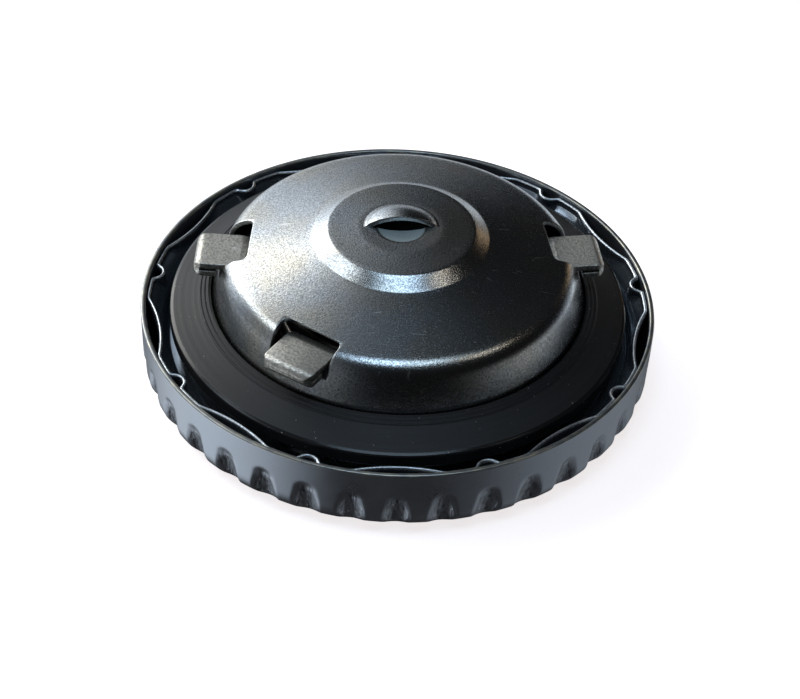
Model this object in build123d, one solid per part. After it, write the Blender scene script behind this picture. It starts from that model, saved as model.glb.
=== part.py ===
from build123d import *
import os
from math import cos, hypot, radians, tan

# Bayonet filler cap of pressed sheet, lying on its outer top with its underside up.
# Millimetres. The origin is the centre of the flat outer top, and +Z points out of the
# open side. Heights that name a level are measured up or down from the lip of the cover.

os.makedirs("parts", exist_ok=True)

# Outer cover: a pressed cup with grip dents in the lower half of its skirt
OUTER_DIAMETER = 83.0
COVER_HEIGHT = 12.8
COVER_SHEET = 0.8
COVER_CORNER = 5.0
SKIRT_TAPER = 0.5
LIP_ROUND = 0.3
GRIP_COUNT = 36
GRIP_PHASE = 1.8
GRIP_TOOL = 2.4
GRIP_DEPTH = 0.6
GRIP_DROP = 6.2
GRIP_SLANT = 18.0

# Liner: the glossy inner shell, pressed inward at its rim by long and short dents
LINER_SHEET = 0.6
RIM_CLEARANCE = 0.15
RIM_SETBACK = 0.6
RIM_HEIGHT = 0.9
WAIST_STEP = 2.05
WAIST_DROP = 3.7
SHELF_STEP = 0.5
SHELF_DROP = 5.8
WELL_STEP = 2.2
WELL_FLARE = 0.9
LINER_PAD_RADIUS = 14.6
LINER_PAD_RISE = 1.5
LINER_ROUNDS = [0.6, 0.8, 1.2, 1.4, 1.0, 1.2, 0.9]
DENT_COUNT = 9
DENT_PHASE = 31.8
LONG_DENT_ANGLE = 12.0
LONG_DENT_REACH = 1.6
SHORT_DENT_ANGLE = 3.0
SHORT_DENT_REACH = 1.4
BREATHER_HOLES = 6
BREATHER_PHASE = 30.0
BREATHER_DROP = 2.4
BREATHER_HOLE_RADIUS = 1.25

# Cup: plated sheet with a coned face, a bevelled boss and a conical brim
CUP_SHEET = 0.8
BOSS_LEVEL = 15.4
BOSS_FLAT = 6.6
BOSS_CROWN = 0.35
BOSS_RADIUS = 11.75
BOSS_FOOT_RADIUS = 14.1
BOSS_FOOT_LEVEL = 13.45
SHOULDER_LEVEL = 9.6
WALL_LEAN = 2.5
FOOT_LEVEL = 0.2
BRIM_SETBACK = 1.0
BRIM_SLOPE = 24.4
CUP_ROUNDS = [15.0, 1.5, 2.0, 3.5, 0.8]

# Louvre lanced in the boss: a raised half dome behind a sunk half dish
LOUVRE_RADIUS = 6.0
LOUVRE_RISE = 2.0
DISH_RADIUS = 4.3
DISH_SINK = 1.2
LOUVRE_TURN = 4.0

# Lug plate: a disc with three arms that rise, bend outward and fold under at the tip
PLATE_SHEET = 1.0
PLATE_PAD_RADIUS = 16.6
PLATE_STEP = 1.0
PLATE_RAMP = 0.8
PLATE_ROUND = 0.5
PLATE_MARGIN = 1.5
LUG_ANGLES = (178.4, -121.4, 9.4)
LUG_WIDTHS = (8.0, 9.0, 8.0)
LUG_LEVEL = 8.5
LUG_FOLD = 2.5
FOLD_FLAT = 0.1
LUG_OVERHANG = 2.4
LUG_RETURN = 3.6
LUG_CORNER = 1.4
ARM_SETBACK = 4.9
ARM_FOOT_ROUND = 0.8
ARM_BEND = 1.2
ROOT_RUN = 2.2
ROOT_DROP = 0.9
ROOT_ROUND = 2.0

# Windows in the cup, wider and taller than the lugs, with the travel above each lug
WINDOW_WIDTHS = (10.2, 10.8, 10.2)
WINDOW_SHIFTS = (-1.2, -0.6, 1.6)
WINDOW_SETBACK = 3.8
WINDOW_CORNER = 0.8
STOP_CLEARANCE = 0.1

# Gasket: a coned rubber ring on the cup's brim
GASKET_THICKNESS = 2.2
GASKET_WIDTH = 6.4
GASKET_CLEARANCE = 1.1
GASKET_FIT = 0.2
GASKET_ROUND = 0.35
RIDGE_COUNT = 3
RIDGE_PITCH = 0.65
RIDGE_RADIUS = 0.22

# Spring and its seat under the cup's face
WIRE_RADIUS = 0.9
WIRE_SIDES = 12
SPRING_TURNS = 5.5
SPRING_FIT = 0.5
SEAT_SHEET = 0.6
SEAT_MARGIN = 0.7
SEAT_FIT = 0.1
SEAT_ROUND = 0.5
COLLAR_HEIGHT = 2.2

# Fastening and breather
SEAL_THICKNESS = 0.6
SEAL_MARGIN = 0.6
RIVET_COUNT = 3
RIVET_PHASE = 30.0
RIVET_CIRCLE = 9.5
RIVET_RADIUS = 2.0
RIVET_HEAD_RADIUS = 3.2
RIVET_HEAD_HEIGHT = 1.3
RIVET_HEAD_EDGE = 0.3
RIVET_TAIL_RADIUS = 2.8
RIVET_TAIL_HEIGHT = 1.0
RIVET_ROUND = 0.25
RIVET_FIT = 0.05
RETAINER_SHEET = 0.5
RETAINER_RISE = 0.3
RETAINER_FIT = 0.1
PERFORATION_RADIUS = 1.1
PERFORATION_PITCH = 4.4
PERFORATION_RINGS = 2
PAD_CLEARANCE = 0.2
PAD_FIT = 0.5

# Radii that follow from the sizes above, from the outside inward
OUTER_RADIUS = OUTER_DIAMETER / 2
RIM_RADIUS = OUTER_RADIUS - COVER_SHEET - RIM_CLEARANCE
WAIST_RADIUS = RIM_RADIUS - LINER_SHEET - WAIST_STEP
SHELF_RADIUS = WAIST_RADIUS - SHELF_STEP
GASKET_RADIUS = WAIST_RADIUS - GASKET_CLEARANCE
BRIM_RADIUS = GASKET_RADIUS - BRIM_SETBACK
FOOT_RADIUS = GASKET_RADIUS - GASKET_WIDTH
WELL_RADIUS = FOOT_RADIUS - WELL_STEP
LUG_REACH = FOOT_RADIUS + LUG_OVERHANG
SHOULDER_RADIUS = FOOT_RADIUS - WALL_LEAN
ARM_RADIUS = SHOULDER_RADIUS - ARM_SETBACK
SPRING_RADIUS = PLATE_PAD_RADIUS + PLATE_STEP + SPRING_FIT + WIRE_RADIUS
PLATE_RADIUS = SPRING_RADIUS + WIRE_RADIUS + PLATE_MARGIN
SEAT_RADIUS = SPRING_RADIUS + WIRE_RADIUS + SEAT_MARGIN
COLLAR_RADIUS = BOSS_FOOT_RADIUS - CUP_SHEET - SEAT_FIT

# Levels that follow, from the outer top up
LIP = COVER_HEIGHT
LINER_FLOOR = COVER_SHEET + LINER_SHEET
LINER_PAD_TOP = LINER_FLOOR + LINER_PAD_RISE
PLATE_TOP = LINER_PAD_TOP + SEAL_THICKNESS + PLATE_SHEET
SPRING_BOTTOM = PLATE_TOP - PLATE_STEP
LUG_TOP = LIP + LUG_LEVEL
WINDOW_FLOOR = LUG_TOP - LUG_FOLD - STOP_CLEARANCE
BOSS_TOP = LIP + BOSS_LEVEL
FACE_SLOPE = (BOSS_FOOT_LEVEL - SHOULDER_LEVEL) / (SHOULDER_RADIUS - BOSS_FOOT_RADIUS)
SEAT_DROP = FACE_SLOPE * (SEAT_RADIUS - BOSS_FOOT_RADIUS) + CUP_SHEET * hypot(1, FACE_SLOPE)
SEAT_TOP = LIP + BOSS_FOOT_LEVEL - SEAT_DROP - SEAT_FIT
SPRING_TOP = SEAT_TOP - SEAT_SHEET
RETAINER_TOP = SEAT_TOP + RETAINER_RISE
DRILL = 8.0
CUTTER = 100.0


def right_offset(path, distance):
    """The path moved to its right by a distance, with mitred corners."""
    normals = []
    for (r0, z0), (r1, z1) in zip(path, path[1:]):
        length = hypot(r1 - r0, z1 - z0)
        normals.append(((z1 - z0) / length, (r0 - r1) / length))
    befores = [normals[0]] + normals
    afters = normals + [normals[-1]]
    moved = []
    for (r, z), before, after in zip(path, befores, afters):
        scale = distance / (1 + before[0] * after[0] + before[1] * after[1])
        moved.append((r + scale * (before[0] + after[0]), z + scale * (before[1] + after[1])))
    return moved


def offset_radii(path, radii, distance):
    """Corner radii of the path moved to its right, so that both sides stay concentric."""
    moved = []
    for (r0, z0), (r1, z1), (r2, z2), radius in zip(path, path[1:], path[2:], radii):
        turns_left = (r1 - r0) * (z2 - z1) > (z1 - z0) * (r2 - r1)
        moved.append(max(radius + (distance if turns_left else -distance), 0))
    return moved


def sheet_section(path, radii, thickness):
    """Section of a pressed sheet that lies to the right of its path, in radius and height."""
    near = FilletPolyline(*path, radius=radii)
    far = FilletPolyline(*right_offset(path, thickness), radius=offset_radii(path, radii, thickness))
    ends = [Line(near @ 0, far @ 0), Line(near @ 1, far @ 1)]
    return Plane.XZ * make_face(near.edges() + far.edges() + ends)


def turned_sheet(path, radii, thickness):
    """A round pressed sheet."""
    return revolve(sheet_section(path, radii, thickness), Axis.Z)


def turned_solid(path, radii):
    """The full round solid between a path and the axis."""
    outline = FilletPolyline(*path, radius=radii)
    top = Line(path[-1], (0, path[-1][1]))
    axis = Line((0, path[-1][1]), path[0])
    return revolve(Plane.XZ * make_face(outline.edges() + [top, axis]), Axis.Z)


def around(shape, count, start=0.0):
    """Equal copies of a shape round the axis."""
    return [Rot(0, 0, start + 360 * i / count) * shape for i in range(count)]


def skirt_radius(level):
    """Outer radius of the skirt at a height."""
    return OUTER_RADIUS - SKIRT_TAPER * (LIP - level) / COVER_HEIGHT


def grip_rod(radius):
    """The punch of one grip dent: a rod that leans in under the skirt, with a round end."""
    level = LIP - GRIP_DROP
    reach = skirt_radius(level) - GRIP_DEPTH
    rod = Cylinder(radius, COVER_HEIGHT, align=(Align.CENTER, Align.CENTER, Align.MAX))
    return Pos(reach + GRIP_TOOL, 0, level) * Rot(0, GRIP_SLANT, 0) * (rod + Sphere(radius))


def make_cover():
    """Pressed cup whose dents run over the corner, at one sheet thickness throughout."""
    path = [(0, 0), (skirt_radius(0), 0), (OUTER_RADIUS, LIP)]
    inner = right_offset(path, -COVER_SHEET)
    solid = turned_solid(path, [COVER_CORNER])
    hollow = turned_solid(inner, [COVER_CORNER - COVER_SHEET])
    solid -= around(grip_rod(GRIP_TOOL), GRIP_COUNT, GRIP_PHASE)
    hollow -= around(grip_rod(GRIP_TOOL + COVER_SHEET), GRIP_COUNT, GRIP_PHASE)
    mouth = Pos(0, 0, LIP) * Cylinder(OUTER_RADIUS - COVER_SHEET, 2)
    cover = solid - hollow - mouth
    return fillet(cover.edges().group_by(Axis.Z)[-1], LIP_ROUND)


def dent_cylinder(half_angle, reach, thickness):
    """The punch that presses the liner's rim in over an angle, for its outer or inner face."""
    bottom = RIM_RADIUS - LINER_SHEET - reach
    chord = RIM_RADIUS * cos(radians(half_angle))
    punch = (RIM_RADIUS ** 2 + bottom ** 2 - 2 * bottom * chord) / (2 * (chord - bottom))
    rod = Cylinder(punch - LINER_SHEET + thickness, COVER_HEIGHT)
    return Pos(bottom + punch, 0, LIP) * rod


def liner_path():
    """Inner face of the liner, from the axis over its floor, well and shelf to the rim."""
    rim = RIM_RADIUS - LINER_SHEET
    top = LIP - RIM_SETBACK
    return [
        (0, LINER_PAD_TOP),
        (LINER_PAD_RADIUS, LINER_PAD_TOP),
        (LINER_PAD_RADIUS + LINER_PAD_RISE / 2, LINER_FLOOR),
        (WELL_RADIUS, LINER_FLOOR),
        (WELL_RADIUS + WELL_FLARE, LIP - SHELF_DROP),
        (SHELF_RADIUS, LIP - SHELF_DROP),
        (WAIST_RADIUS, LIP - WAIST_DROP),
        (rim, top - RIM_HEIGHT),
        (rim, top),
    ]


def make_liner():
    """Inner shell: nine long and nine short dents leave slots between it and the skirt."""
    path = liner_path()
    outside = right_offset(path, LINER_SHEET)
    solid = turned_solid(outside, offset_radii(path, LINER_ROUNDS, LINER_SHEET))
    hollow = turned_solid(path, LINER_ROUNDS)
    half_pitch = 180 / DENT_COUNT
    long_dent = (LONG_DENT_ANGLE, LONG_DENT_REACH, DENT_PHASE)
    short_dent = (SHORT_DENT_ANGLE, SHORT_DENT_REACH, DENT_PHASE + half_pitch)
    for half_angle, reach, first in (long_dent, short_dent):
        solid -= around(dent_cylinder(half_angle, reach, 0), DENT_COUNT, first)
        hollow -= around(dent_cylinder(half_angle, reach, LINER_SHEET), DENT_COUNT, first)
    liner = solid - hollow
    wall_level = LIP - SHELF_DROP - BREATHER_DROP
    hole = Pos(WELL_RADIUS, 0, wall_level) * Rot(0, 90, 0) * Cylinder(BREATHER_HOLE_RADIUS, DRILL)
    liner -= around(hole, BREATHER_HOLES, BREATHER_PHASE)
    return liner - rivet_holes()


def rivet_holes():
    """Clearance holes on the rivet circle."""
    hole = Pos(RIVET_CIRCLE, 0, LINER_PAD_TOP) * Cylinder(RIVET_RADIUS + RIVET_FIT, DRILL)
    return around(hole, RIVET_COUNT, RIVET_PHASE)


def cup_path():
    """Outer face of the cup, from the boss over the face and shoulder to the brim's edge."""
    brim_drop = (BRIM_RADIUS - FOOT_RADIUS) * tan(radians(BRIM_SLOPE))
    return [
        (0, BOSS_TOP),
        (BOSS_FLAT, BOSS_TOP),
        (BOSS_RADIUS, BOSS_TOP - BOSS_CROWN),
        (BOSS_FOOT_RADIUS, LIP + BOSS_FOOT_LEVEL),
        (SHOULDER_RADIUS, LIP + SHOULDER_LEVEL),
        (FOOT_RADIUS, LIP + FOOT_LEVEL),
        (BRIM_RADIUS, LIP + FOOT_LEVEL - brim_drop),
    ]


def window_cutter(angle, width):
    """One window, from a chord across the face out through the shoulder and wall."""
    chord = SHOULDER_RADIUS - WINDOW_SETBACK
    length = FOOT_RADIUS + CUP_SHEET - chord
    height = BOSS_TOP - WINDOW_FLOOR
    block = Box(length, width, height, align=(Align.MIN, Align.CENTER, Align.MIN))
    corners = block.edges().filter_by(Axis.Z).group_by(Axis.X)[0]
    return Rot(0, 0, angle) * Pos(chord, 0, WINDOW_FLOOR) * fillet(corners, WINDOW_CORNER)


def cap_sphere(base_radius, height):
    """Radius of the sphere whose cap has the given base radius and height."""
    return (base_radius ** 2 + height ** 2) / (2 * height)


def add_louvre(cup):
    """Lances the boss: sheet raised behind the slit, sunk in front of it."""
    behind = Box(CUTTER, CUTTER, CUTTER, align=(Align.CENTER, Align.MIN, Align.CENTER))
    before = Box(CUTTER, CUTTER, CUTTER, align=(Align.CENTER, Align.MAX, Align.CENTER))
    above = Box(CUTTER, CUTTER, CUTTER, align=(Align.CENTER, Align.CENTER, Align.MIN))
    below = Box(CUTTER, CUTTER, CUTTER, align=(Align.CENTER, Align.CENTER, Align.MAX))
    turn = Rot(0, 0, LOUVRE_TURN)
    dome = cap_sphere(LOUVRE_RADIUS, LOUVRE_RISE)
    dome_centre = Pos(0, 0, BOSS_TOP + LOUVRE_RISE - dome)
    dish = cap_sphere(DISH_RADIUS, DISH_SINK)
    dish_centre = Pos(0, 0, BOSS_TOP - DISH_SINK + dish)
    raised = dome_centre * (Sphere(dome) - Sphere(dome - CUP_SHEET)) & behind
    raised = raised & Pos(0, 0, BOSS_TOP - CUP_SHEET) * above
    sunk = dish_centre * (Sphere(dish + CUP_SHEET) - Sphere(dish)) & before
    sunk = sunk & Pos(0, 0, BOSS_TOP) * below
    cup -= turn * (dome_centre * Sphere(dome - CUP_SHEET) & behind)
    cup -= turn * (dish_centre * Sphere(dish) & before)
    return cup + turn * raised + turn * sunk


def make_cup():
    """Plated cup with its louvre and its three windows."""
    cup = turned_sheet(cup_path(), CUP_ROUNDS, CUP_SHEET)
    cup = add_louvre(cup)
    for angle, shift, width in zip(LUG_ANGLES, WINDOW_SHIFTS, WINDOW_WIDTHS):
        cup -= window_cutter(angle + shift, width)
    return cup


def make_gasket():
    """Coned rubber ring that lies on the brim against the cup's wall, finely ringed inside."""
    fall = tan(radians(BRIM_SLOPE))
    lean = WALL_LEAN / (SHOULDER_LEVEL - FOOT_LEVEL)
    rise = GASKET_THICKNESS / cos(radians(BRIM_SLOPE))
    inner = FOOT_RADIUS + GASKET_FIT
    foot = LIP + FOOT_LEVEL
    bottom_inner = (inner + GASKET_FIT, foot - fall * 2 * GASKET_FIT)
    bottom_outer = (GASKET_RADIUS, foot - fall * (GASKET_RADIUS - FOOT_RADIUS))
    top_outer = (GASKET_RADIUS, bottom_outer[1] + rise)
    top_inner = (inner - lean * rise, foot + rise - fall * (GASKET_FIT - lean * rise))
    outline = Polyline(bottom_inner, bottom_outer, top_outer, top_inner, close=True)
    section = make_face(outline)
    section = fillet(section.vertices(), GASKET_ROUND)
    for i in range(RIDGE_COUNT):
        step = RIDGE_PITCH * (i + 1)
        section += Pos(top_inner[0] + step, top_inner[1] - fall * step) * Circle(RIDGE_RADIUS)
    return revolve(Plane.XZ * section, Axis.Z)


def lug_arm(width):
    """One arm: out along the plate, up inside the cup, sloping out to its lug, folded under."""
    path = [
        (PLATE_PAD_RADIUS + PLATE_STEP, SPRING_BOTTOM),
        (ARM_RADIUS, SPRING_BOTTOM),
        (ARM_RADIUS, LUG_TOP - ROOT_DROP),
        (ARM_RADIUS + ROOT_RUN, LUG_TOP),
        (LUG_REACH, LUG_TOP),
        (LUG_REACH, LUG_TOP - LUG_FOLD),
        (LUG_REACH - LUG_RETURN, LUG_TOP - LUG_FOLD),
    ]
    fold = (LUG_FOLD - FOLD_FLAT) / 2
    rounds = [ARM_FOOT_ROUND, ARM_BEND, ROOT_ROUND, fold, fold]
    arm = extrude(sheet_section(path, rounds, PLATE_SHEET), width / 2, both=True)
    around_tip = Pos(LUG_REACH, 0, LUG_TOP) * Box(2 * LUG_RETURN, 2 * width, 4 * LUG_FOLD)
    outline = Pos(LUG_REACH - LUG_RETURN, 0, LUG_TOP) * Box(2 * LUG_RETURN, width, 4 * LUG_FOLD)
    outline = fillet(outline.edges().filter_by(Axis.Z), LUG_CORNER)
    return arm - (around_tip - outline)


def make_lug_plate():
    """Disc with a raised centre that locates the spring, and the three arms."""
    path = [
        (0, PLATE_TOP),
        (PLATE_PAD_RADIUS, PLATE_TOP),
        (PLATE_PAD_RADIUS + PLATE_RAMP, SPRING_BOTTOM),
        (PLATE_RADIUS, SPRING_BOTTOM),
    ]
    plate = turned_sheet(path, [PLATE_ROUND, PLATE_ROUND], PLATE_SHEET)
    for angle, width in zip(LUG_ANGLES, LUG_WIDTHS):
        plate += Rot(0, 0, angle) * lug_arm(width)
    return plate - rivet_holes()


def make_plate_seal():
    """Thin sealing disc between the liner's pad and the lug plate."""
    radius = LINER_PAD_RADIUS - SEAL_MARGIN
    disc = Cylinder(radius, SEAL_THICKNESS, align=(Align.CENTER, Align.CENTER, Align.MIN))
    return Pos(0, 0, LINER_PAD_TOP) * disc - rivet_holes()


def make_rivets():
    """Three rivets with domed heads on the plate and flat tails under the liner."""
    shank_bottom = LINER_PAD_TOP - LINER_SHEET
    tail_bottom = shank_bottom - RIVET_TAIL_HEIGHT
    path = [
        (0, tail_bottom),
        (RIVET_TAIL_RADIUS, tail_bottom),
        (RIVET_TAIL_RADIUS, shank_bottom),
        (RIVET_RADIUS, shank_bottom),
        (RIVET_RADIUS, PLATE_TOP),
        (RIVET_HEAD_RADIUS, PLATE_TOP),
        (RIVET_HEAD_RADIUS, PLATE_TOP + RIVET_HEAD_EDGE),
        (RIVET_HEAD_RADIUS / 2, PLATE_TOP + RIVET_HEAD_HEIGHT),
    ]
    rivet = turned_solid(path, [RIVET_ROUND, 0, 0, 0, 0, RIVET_ROUND])
    return Compound(children=around(Pos(RIVET_CIRCLE, 0, 0) * rivet, RIVET_COUNT, RIVET_PHASE))


def make_spring():
    """Compression spring, ground flat at both ends. The wire's section is a many-sided round."""
    height = SPRING_TOP - SPRING_BOTTOM
    helix = Helix(height / SPRING_TURNS, height, SPRING_RADIUS)
    section = Plane(origin=helix @ 0, z_dir=helix % 0) * RegularPolygon(WIRE_RADIUS, WIRE_SIDES)
    wire = sweep(section, path=helix, is_frenet=True)
    slab = Cylinder(PLATE_RADIUS, height, align=(Align.CENTER, Align.CENTER, Align.MIN))
    return Pos(0, 0, SPRING_BOTTOM) * (wire & slab)


def make_spring_seat():
    """Pressed ring: its collar fits the boss from below, its flange meets the face."""
    collar_top = SEAT_TOP + COLLAR_HEIGHT
    path = [(COLLAR_RADIUS, collar_top), (COLLAR_RADIUS, SEAT_TOP), (SEAT_RADIUS, SEAT_TOP)]
    return turned_sheet(path, [SEAT_ROUND], SEAT_SHEET)


def make_pad_retainer():
    """Perforated disc inside the seat's collar."""
    radius = COLLAR_RADIUS - SEAT_SHEET - RETAINER_FIT
    disc = Cylinder(radius, RETAINER_SHEET, align=(Align.CENTER, Align.CENTER, Align.MAX))
    hole = Cylinder(PERFORATION_RADIUS, DRILL)
    disc -= hole
    for ring in range(1, PERFORATION_RINGS + 1):
        disc -= around(Pos(ring * PERFORATION_PITCH, 0, 0) * hole, 6 * ring)
    return Pos(0, 0, RETAINER_TOP) * disc


def make_breather_pad():
    """Filter pad between the retainer and the louvre."""
    radius = COLLAR_RADIUS - SEAT_SHEET - PAD_FIT
    thickness = BOSS_TOP - DISH_SINK - CUP_SHEET - PAD_CLEARANCE - RETAINER_TOP
    pad = Cylinder(radius, thickness, align=(Align.CENTER, Align.CENTER, Align.MIN))
    return Pos(0, 0, RETAINER_TOP) * pad


PARTS = {
    "cover": make_cover,
    "liner": make_liner,
    "lug_plate": make_lug_plate,
    "plate_seal": make_plate_seal,
    "plate_rivets": make_rivets,
    "main_spring": make_spring,
    "spring_seat": make_spring_seat,
    "cup": make_cup,
    "gasket": make_gasket,
    "breather_pad": make_breather_pad,
    "pad_retainer": make_pad_retainer,
}

for name, make in PARTS.items():
    export_step(make(), f"parts/{name}.step")
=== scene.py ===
"""Locking filler cap: fine forms and finishes round its packed frame, laid out as an add-on.

Each operator makes one piece or one group of like pieces. The frame gives the sizes
that the pieces share, and the property groups hold the ones that a user would change.
"""

import math
import bmesh
import bpy
from mathutils import Matrix, Vector


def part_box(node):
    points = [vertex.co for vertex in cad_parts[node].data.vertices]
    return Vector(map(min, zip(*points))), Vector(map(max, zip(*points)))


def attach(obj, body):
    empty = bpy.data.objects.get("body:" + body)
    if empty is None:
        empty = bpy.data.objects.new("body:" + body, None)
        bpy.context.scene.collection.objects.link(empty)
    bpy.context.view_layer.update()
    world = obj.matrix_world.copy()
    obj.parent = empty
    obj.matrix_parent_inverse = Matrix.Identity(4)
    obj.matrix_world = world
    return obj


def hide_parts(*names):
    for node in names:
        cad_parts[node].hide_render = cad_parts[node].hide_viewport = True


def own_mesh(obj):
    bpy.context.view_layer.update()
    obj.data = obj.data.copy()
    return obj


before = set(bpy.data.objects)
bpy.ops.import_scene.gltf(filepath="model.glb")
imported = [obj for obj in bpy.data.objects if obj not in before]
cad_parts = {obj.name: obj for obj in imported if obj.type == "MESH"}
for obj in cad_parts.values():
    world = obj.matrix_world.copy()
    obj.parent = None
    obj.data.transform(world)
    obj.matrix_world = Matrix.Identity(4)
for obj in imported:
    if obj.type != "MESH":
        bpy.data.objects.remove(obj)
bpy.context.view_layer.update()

bl_info = {
    "name": "Locking Filler Cap",
    "version": (1, 0, 0),
    "blender": (4, 5, 0),
    "location": "3D View > Sidebar > Filler Cap",
    "description": "Makes the pressed shells, gasket, cup and finishes of a locking filler cap",
    "category": "Object",
}

MM = 0.001
FULL_TURN = 2 * math.pi
COVER_BODY = "cover_body"
SEAL_BODY = "seal_body"

COVER_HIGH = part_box("cover")[1]
CUP_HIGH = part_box("cup")[1]
LINER_LOW, LINER_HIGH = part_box("liner")
GASKET_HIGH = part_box("gasket")[1]
LIP = COVER_HIGH.z

# The photo in pixels, the camera's sensor in millimetres, and the reach of lights and floor in metres
PHOTO_WIDTH = 800
PHOTO_HEIGHT = 699
SENSOR_WIDTH = 36.0
LIGHT_DISTANCE = 0.9
FLOOR_REACH = 4.0

# How finely each piece is divided, round the axis and along its outline
COVER_COLUMNS = 756
COVER_BASE_STEP = 6 * MM
COVER_SKIRT_STEP = 0.36 * MM
LINER_COLUMNS = 594
LINER_FLOOR_STEP = 2.4 * MM
LINER_WALL_STEP = 0.8 * MM
GASKET_COLUMNS = 360
GASKET_STEP = 0.11 * MM
CUP_COLUMNS = 468
CUP_PITCH = FULL_TURN / CUP_COLUMNS
CUP_STEP = 0.75 * MM
LOUVRE_RINGS = 16
LUG_STEP = 0.5 * MM

# Rounds, gaps and limits that no user would change
COVER_EDGE = 0.25 * MM
LINER_EDGE = 0.26 * MM
LINER_CLEARANCE = 0.15 * MM
LINER_ROUNDS = [radius * MM for radius in (0.7, 0.8, 1.2, 1.4, 0.8, 0.7, 1.2, 0.9)]
CUP_ROUNDS = [radius * MM for radius in (15, 0.9, 0.9, 3.5, 0.8)]
CUP_SOFT_EDGE = 0.07 * MM
LOUVRE_FOOT = 0.9 * MM
GASKET_GAP = 0.2 * MM
RIDGE_BAND = 0.02 * MM
FOLD_GAP = 0.05 * MM
LUG_SOFT_EDGE = 0.14 * MM
SOFT_ANGLE = math.radians(50)
SHARP_ANGLE = math.radians(45)
MERGE = 0.001 * MM
TINY = 1e-7

# Angles in degrees of the windows and the lugs, and the height where the lugs' arms take over from the plate
WINDOW_TURNS = (177.2, -122.0, 11.0)
LUG_TURNS = (178.4, -121.4, 9.4)
ARM_CUT = 10 * MM

# Radii between which the gasket's face turns into its rubbed edge
RUBBED_EDGE = (36.1 * MM, 36.3 * MM)

# A dent's streaks: how many to a radian, how many to a metre of height, and the depth that shows them in full
STREAK_TURNS = 90
STREAK_ROWS = 220
STREAK_DEPTH = 0.3 * MM


def length(name, description, default):
    """A length property, in metres."""
    return bpy.props.FloatProperty(
        name=name, description=description, default=default, unit="LENGTH", subtype="DISTANCE", precision=5
    )


def angle(name, description, default):
    """An angle property whose default is given in degrees."""
    return bpy.props.FloatProperty(
        name=name, description=description, default=math.radians(default), unit="ROTATION", subtype="ANGLE"
    )


def colour(name, description, default):
    """A colour property, linear red, green and blue."""
    return bpy.props.FloatVectorProperty(
        name=name, description=description, default=default, size=3, subtype="COLOR", min=0, max=1
    )


def amount(name, description, default):
    """A plain number property."""
    return bpy.props.FloatProperty(name=name, description=description, default=default, min=0)


class CoverSizes(bpy.types.PropertyGroup):
    """Sizes of the outer cover and its grip dents."""

    sheet: length("Sheet", "Thickness of the pressed sheet", 0.8 * MM)
    corner: length("Corner", "Radius of the corner below the skirt", 5 * MM)
    taper: length("Taper", "How much the skirt narrows from the lip down", 0.5 * MM)
    dents: bpy.props.IntProperty(name="Dents", description="Grip dents round the skirt", default=36, min=3)
    dent_phase: angle("Dent phase", "Angle of the first dent", 1.8)
    dent_rod: length("Punch radius", "Radius of the round-nosed punch", 2.4 * MM)
    dent_depth: length("Dent depth", "How deep the punch presses the skirt", 0.6 * MM)
    dent_drop: length("Dent drop", "Height of the lip above the punch's nose", 6.2 * MM)
    dent_lean: angle("Dent lean", "How much the punch leans in under the skirt", 18)
    dent_soft: length("Dent softness", "Width over which a dent runs out into the skirt", 0.7 * MM)
    streaks: length("Streaks", "Depth of the streaks that the punch draws", 0.10 * MM)


class LinerSizes(bpy.types.PropertyGroup):
    """Sizes of the glossy liner and the dents of its rim."""

    sheet: length("Sheet", "Thickness of the liner's sheet", 0.6 * MM)
    rim_height: length("Rim height", "Height of the upright rim", 0.9 * MM)
    waist_step: length("Waist step", "From the rim in to the waist", 2.05 * MM)
    waist_drop: length("Waist drop", "From the lip down to the waist", 3.7 * MM)
    shelf_step: length("Shelf step", "From the waist in to the shelf", 0.5 * MM)
    shelf_drop: length("Shelf drop", "From the lip down to the shelf", 5.8 * MM)
    shelf_slant: length("Shelf slant", "Width of the shelf's slanting outer part", 3.2 * MM)
    shelf_fall: length("Shelf fall", "How much that part falls", 0.6 * MM)
    well_radius: length("Well radius", "Inner radius at the well's floor", 28.2 * MM)
    well_flare: length("Well flare", "How much the well widens upward", 0.9 * MM)
    pad_radius: length("Pad radius", "Radius of the raised pad in the middle", 14.6 * MM)
    pad_rise: length("Pad rise", "Height of the raised pad", 1.5 * MM)
    dents: bpy.props.IntProperty(name="Dents", description="Long dents, and as many short", default=9, min=3)
    dent_phase: angle("Dent phase", "Angle of the first long dent", 31.8)
    long_angle: angle("Long dent", "Half the angle of a long dent", 12)
    long_reach: length("Long reach", "How far a long dent presses the rim in", 1.6 * MM)
    short_angle: angle("Short dent", "Half the angle of a short dent", 3)
    short_reach: length("Short reach", "How far a short dent presses the rim in", 1.4 * MM)
    dent_soft: length("Dent softness", "Width over which a dent runs out into the rim", 0.25 * MM)


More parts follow.
